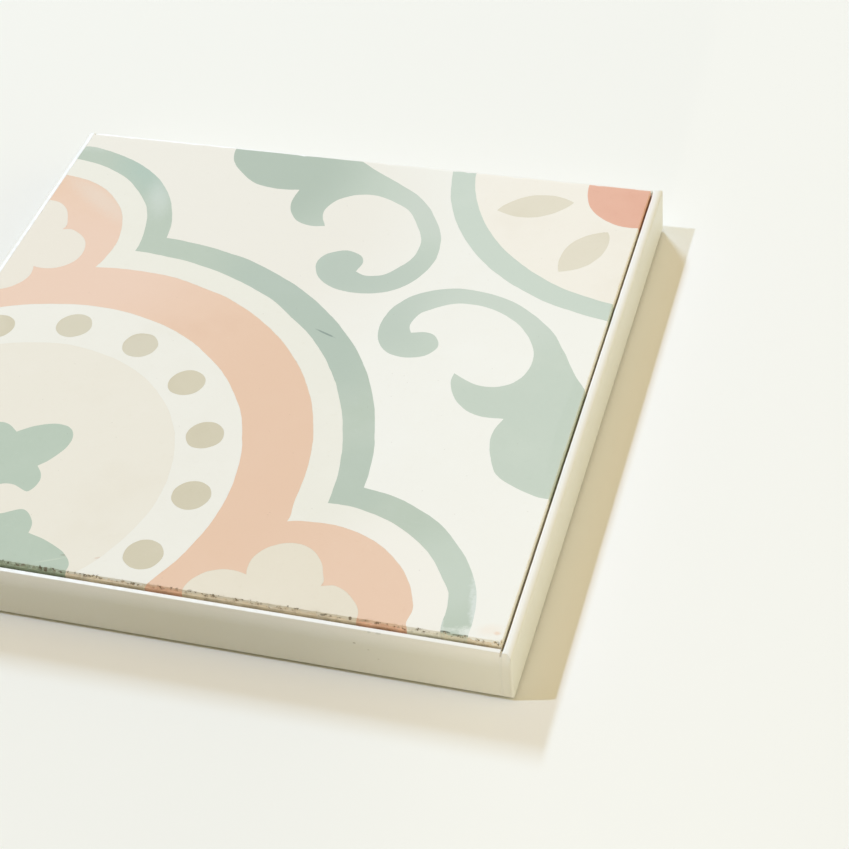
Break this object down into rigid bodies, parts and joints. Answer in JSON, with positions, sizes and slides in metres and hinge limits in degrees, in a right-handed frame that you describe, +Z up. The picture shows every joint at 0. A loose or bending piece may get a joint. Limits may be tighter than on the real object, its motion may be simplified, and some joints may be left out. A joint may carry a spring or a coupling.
{
  "type": "trivet",
  "caption": "Square trivet: a patterned cement tile with inlaid coloured fields, bonded into a white powder-coated steel angle frame on small foot pads",
  "frame": {"origin": "centre of the square frame on the table, under the foot pads", "axes": "X runs along the front bar to the right, Y runs away from the front bar, Z is up out of the tile's face"},
  "size_m": [0.207, 0.207, 0.0182],
  "materials": {
    "ivory_cement": "matte, smooth pressed cement",
    "cream_cement": "matte, smooth pressed cement",
    "sand_cement": "matte, smooth pressed cement",
    "green_cement": "matte, smooth pressed cement",
    "blush_cement": "matte, smooth pressed cement",
    "coral_cement": "matte, smooth pressed cement",
    "fine_mortar": "matte, fine grained",
    "coarse_mortar": "rough, open grained",
    "white_powder_coat": "satin powder coat",
    "silicone": "satin",
    "foot_rubber": "matte"
  },
  "bodies": {
    "root": {"ground_field": "ivory_cement", "scroll_back": "green_cement", "scroll_right": "green_cement", "green_band": "green_cement", "ivory_band": "ivory_cement", "blush_band": "blush_cement", "cloud_left": "cream_cement", "cloud_front": "cream_cement", "dot_ring": "ivory_cement", "dot_1": "sand_cement", "dot_2": "sand_cement", "dot_3": "sand_cement", "dot_4": "sand_cement", "dot_5": "sand_cement", "dot_6": "sand_cement", "dot_7": "sand_cement", "centre_disc": "cream_cement", "flower_leaves": "green_cement", "flower_heart": "coral_cement", "rosette_heart": "coral_cement", "rosette_field": "cream_cement", "rosette_petal_back": "sand_cement", "rosette_petal_right": "sand_cement", "rosette_ring": "green_cement", "tile_middle": "fine_mortar", "tile_backing": "coarse_mortar", "left_bar": "white_powder_coat", "right_bar": "white_powder_coat", "front_bar": "white_powder_coat", "back_bar": "white_powder_coat", "weld_front_left": "white_powder_coat", "weld_front_right": "white_powder_coat", "weld_back_left": "white_powder_coat", "weld_back_right": "white_powder_coat", "glue_left": "silicone", "glue_right": "silicone", "glue_front": "silicone", "glue_back": "silicone", "foot_front_left": "foot_rubber", "foot_front_right": "foot_rubber", "foot_back_left": "foot_rubber", "foot_back_right": "foot_rubber"}
  },
  "joints": []
}
